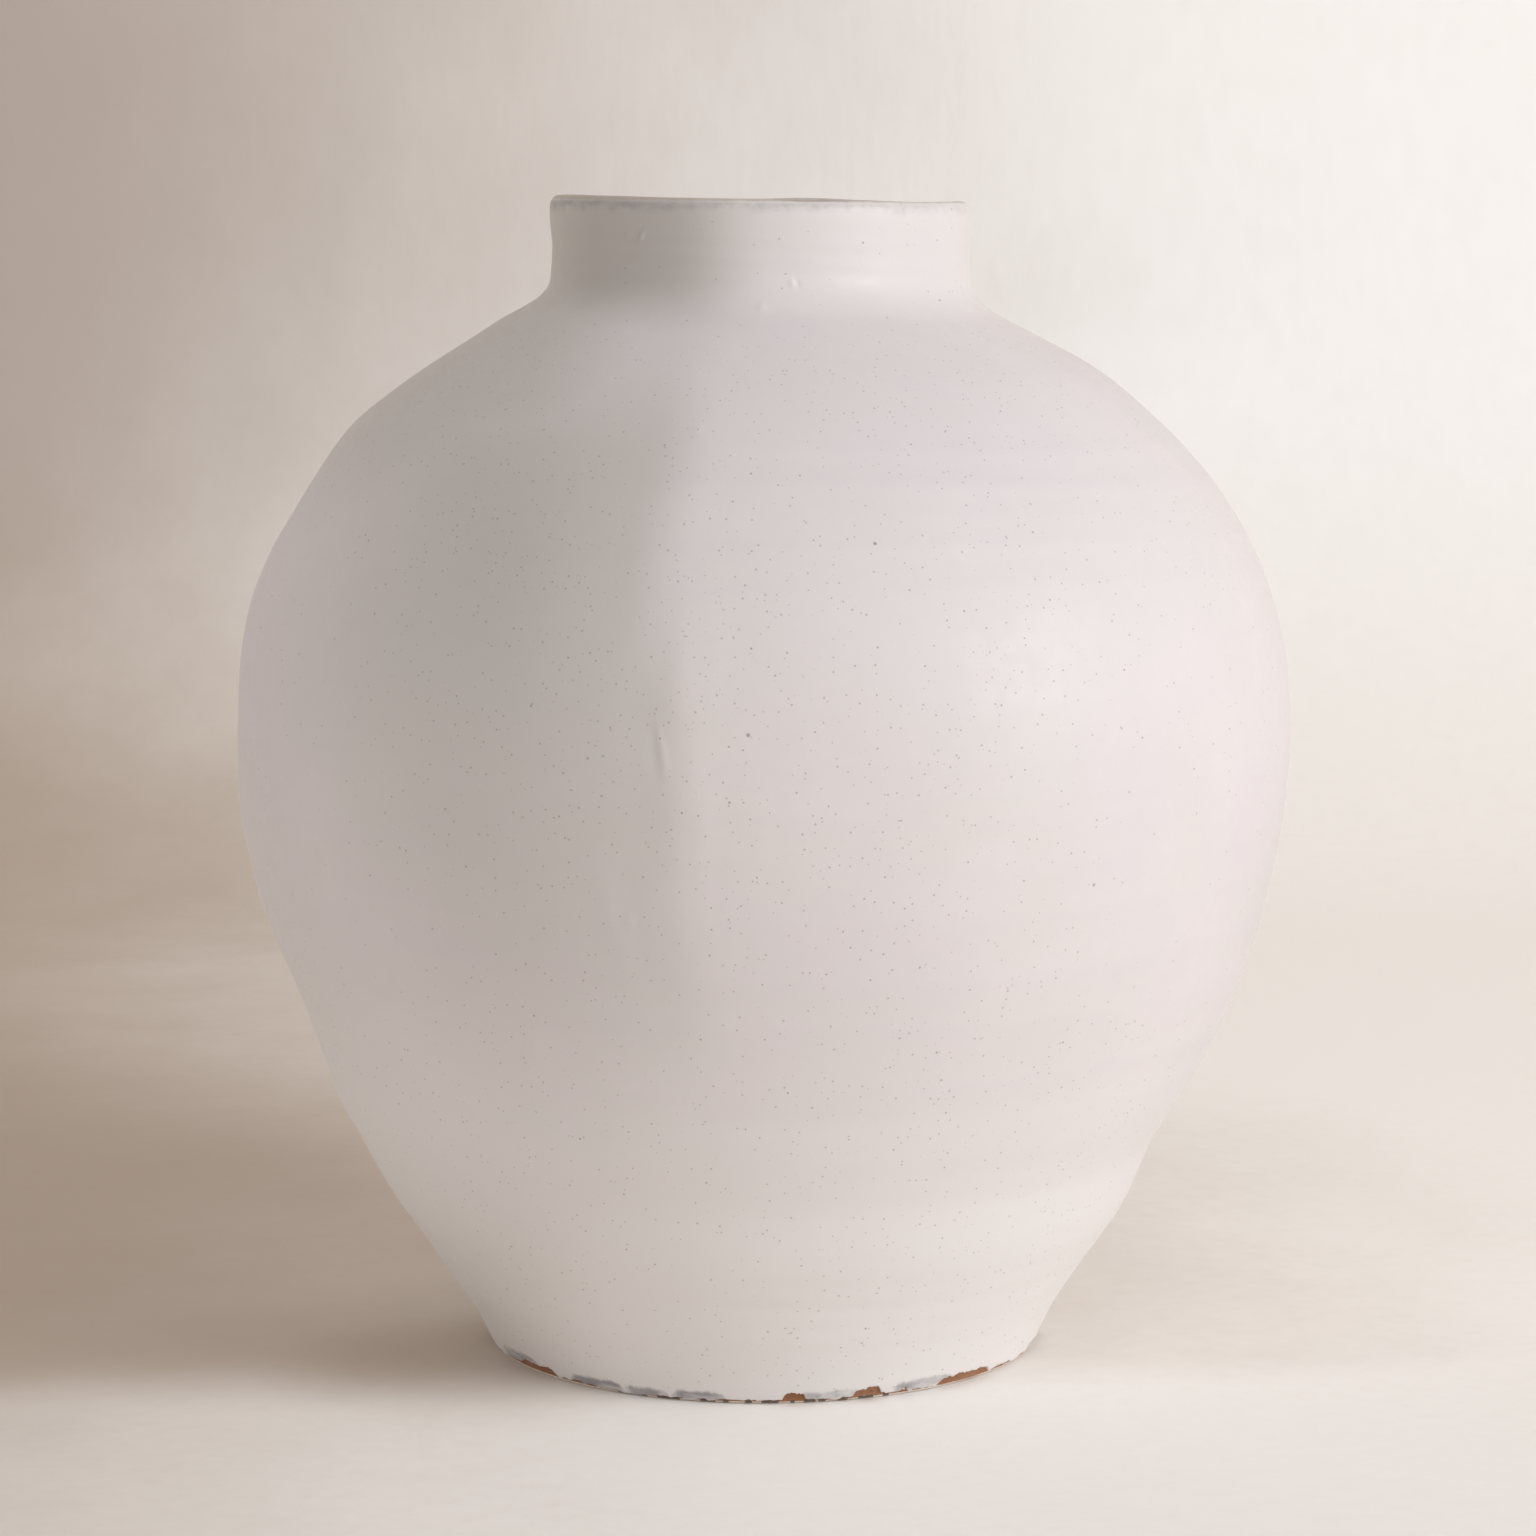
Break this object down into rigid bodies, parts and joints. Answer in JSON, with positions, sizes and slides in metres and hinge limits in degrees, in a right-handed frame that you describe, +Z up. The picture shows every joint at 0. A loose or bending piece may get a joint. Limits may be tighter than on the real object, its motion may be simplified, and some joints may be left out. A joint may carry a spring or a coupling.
{
  "type": "moon jar",
  "caption": "Large round white-glazed porcelain jar thrown as two bowls joined at the belly, with a short upright neck and a low bare foot ring.",
  "frame": {"origin": "on the floor plane under the middle of the belly, at the centre of the foot ring", "axes": "+Z up along the jar's axis, +X to the right in the picture, +Y away from the viewer; the neck leans towards +X by under one degree"},
  "size_m": [0.4128, 0.4128, 0.4509],
  "materials": {
    "bare_clay": "fired bare clay, matt, rubbed pale and stained brown at the edge",
    "slip": "fired joining slip, matt",
    "body_clay": "fired white clay under the glaze, matt",
    "white_glaze": "soft semi-matt milk white glaze with fine iron specks",
    "inner_glaze": "thin semi-matt white glaze"
  },
  "bodies": {
    "root": {"foot_ring": "bare_clay", "foot_slip_seam": "slip", "lower_bowl": "body_clay", "belly_slip_seam": "slip", "belly_seam_coil": "body_clay", "upper_bowl": "body_clay", "neck_slip_seam": "slip", "neck_collar": "body_clay", "outer_glaze": "white_glaze", "inner_glaze": "inner_glaze", "foot_recess_glaze": "inner_glaze"}
  },
  "joints": []
}
